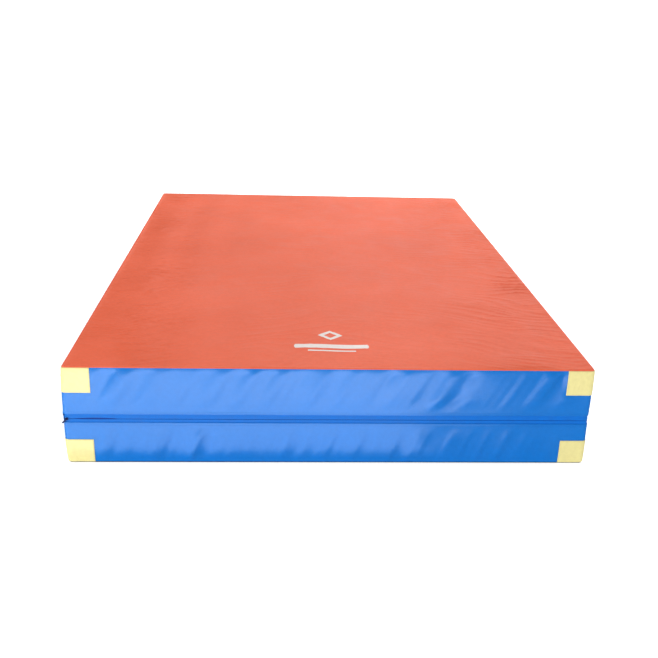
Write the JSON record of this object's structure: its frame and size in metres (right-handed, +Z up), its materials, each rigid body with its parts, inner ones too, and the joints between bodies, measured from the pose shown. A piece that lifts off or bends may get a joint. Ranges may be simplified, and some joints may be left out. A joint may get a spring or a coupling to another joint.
{
  "type": "folding gym mat",
  "caption": "Thick two-part foam landing mat that folds like a book and zips shut round three sides, with corner patches, carry handles and a sliding zip pull.",
  "frame": {"origin": "middle of the base, on the floor", "axes": "+X to the right, away from the fold line; +Y to the back along the fold line; +Z up"},
  "size_m": [2.0439, 3.0063, 0.4],
  "materials": {
    "foam": "matt open-cell foam",
    "red_pvc": "satin coated fabric",
    "blue_pvc": "satin coated fabric",
    "yellow_pvc": "satin coated fabric",
    "grip_pvc": "dotted anti-slip",
    "zip_tape": "woven",
    "zip_coil": "moulded nylon",
    "stop_metal": "satin",
    "webbing": "woven",
    "slider_metal": "satin",
    "ring_nickel": "polished"
  },
  "bodies": {
    "lower_half": {"lower_foam_core": "foam", "lower_base_sheet": "grip_pvc", "lower_inner_panel": "red_pvc", "lower_front_wall": "blue_pvc", "lower_right_wall": "blue_pvc", "lower_back_wall": "blue_pvc", "lower_left_wall": "blue_pvc", "lower_patch_front_left": "yellow_pvc", "lower_patch_front_right": "yellow_pvc", "lower_patch_back_left": "yellow_pvc", "lower_patch_back_right": "yellow_pvc", "lower_zip_tape": "zip_tape", "lower_zip_coil": "zip_coil", "lower_zip_stops": "stop_metal", "lower_handle_front": "webbing", "lower_handle_back": "webbing", "lower_hinge_strip": "blue_pvc"},
    "upper_half": {"upper_foam_core": "foam", "upper_top_panel": "red_pvc", "upper_inner_panel": "red_pvc", "upper_front_wall": "blue_pvc", "upper_right_wall": "blue_pvc", "upper_back_wall": "blue_pvc", "upper_left_wall": "blue_pvc", "upper_patch_front_left": "yellow_pvc", "upper_patch_front_right": "yellow_pvc", "upper_patch_back_left": "yellow_pvc", "upper_patch_back_right": "yellow_pvc", "upper_zip_tape": "zip_tape", "upper_zip_coil": "zip_coil", "upper_zip_stops": "stop_metal", "upper_handle_front": "webbing", "upper_handle_back": "webbing", "upper_hinge_strip": "blue_pvc"},
    "zip_slider": {"zip_slider": "slider_metal"},
    "pull_tab": {"pull_tab": "slider_metal"},
    "pull_ring": {"pull_ring": "ring_nickel"}
  },
  "joints": [
    {"name": "fold_hinge", "type": "hinge", "parent": "lower_half", "child": "upper_half", "pos_m": [-1.01, 0, 0.2], "axis": [0, -1, 0], "range_deg": [0, 180]},
    {"name": "zip_slide", "type": "slide", "parent": "lower_half", "child": "zip_slider", "axis": [1, 0, 0], "range_m": [0, 1.94]},
    {"name": "tab_flip", "type": "hinge", "parent": "zip_slider", "child": "pull_tab", "pos_m": [-0.993, -1.5036, 0.186], "axis": [-0.7071, 0, 0.7071], "range_deg": [0, 150]},
    {"name": "ring_swing", "type": "hinge", "parent": "pull_tab", "child": "pull_ring", "pos_m": [-1.00856, -1.5036, 0.17044], "axis": [-0.7071, 0, 0.7071], "range_deg": [0, 120]}
  ]
}
